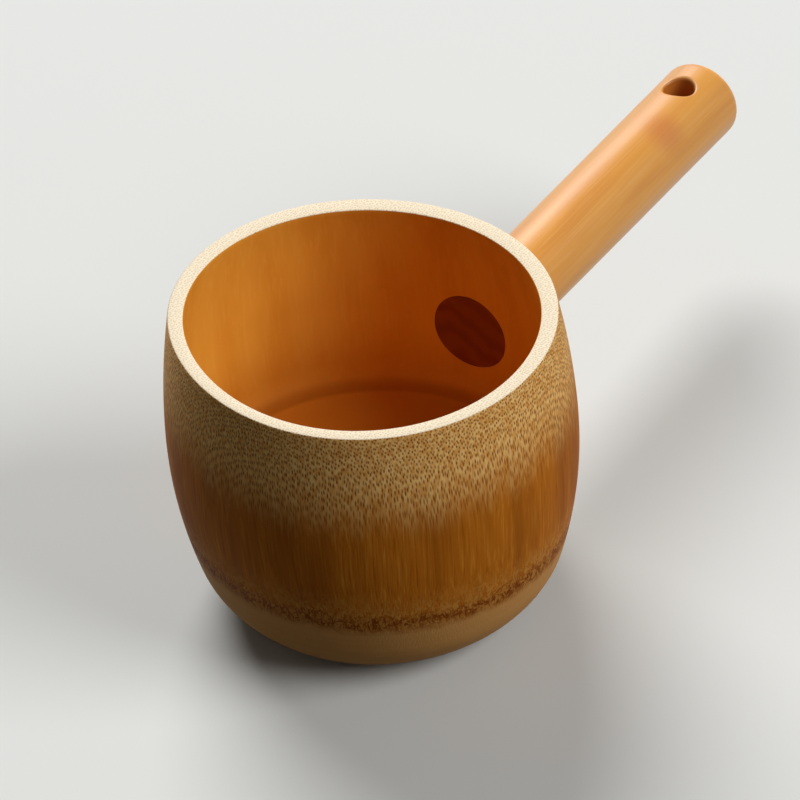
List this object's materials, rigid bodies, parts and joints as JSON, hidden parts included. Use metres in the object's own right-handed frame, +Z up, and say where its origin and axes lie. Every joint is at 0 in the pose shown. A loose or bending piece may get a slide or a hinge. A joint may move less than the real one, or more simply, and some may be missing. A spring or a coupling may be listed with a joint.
{
  "type": "water ladle",
  "caption": "Round barrelled bamboo cup with a natural node floor and a straight turned wooden handle through its wall, with a hanging hole.",
  "frame": {"origin": "middle of the foot, on the ground the cup stands on", "axes": "+Z up along the cup's turning axis, +X outwards along the handle"},
  "size_m": [0.2144, 0.1, 0.0825],
  "materials": {
    "bamboo": "satin",
    "handle_wood": "satin"
  },
  "bodies": {
    "root": {"bamboo_cup": "bamboo", "handle": "handle_wood"}
  },
  "joints": []
}
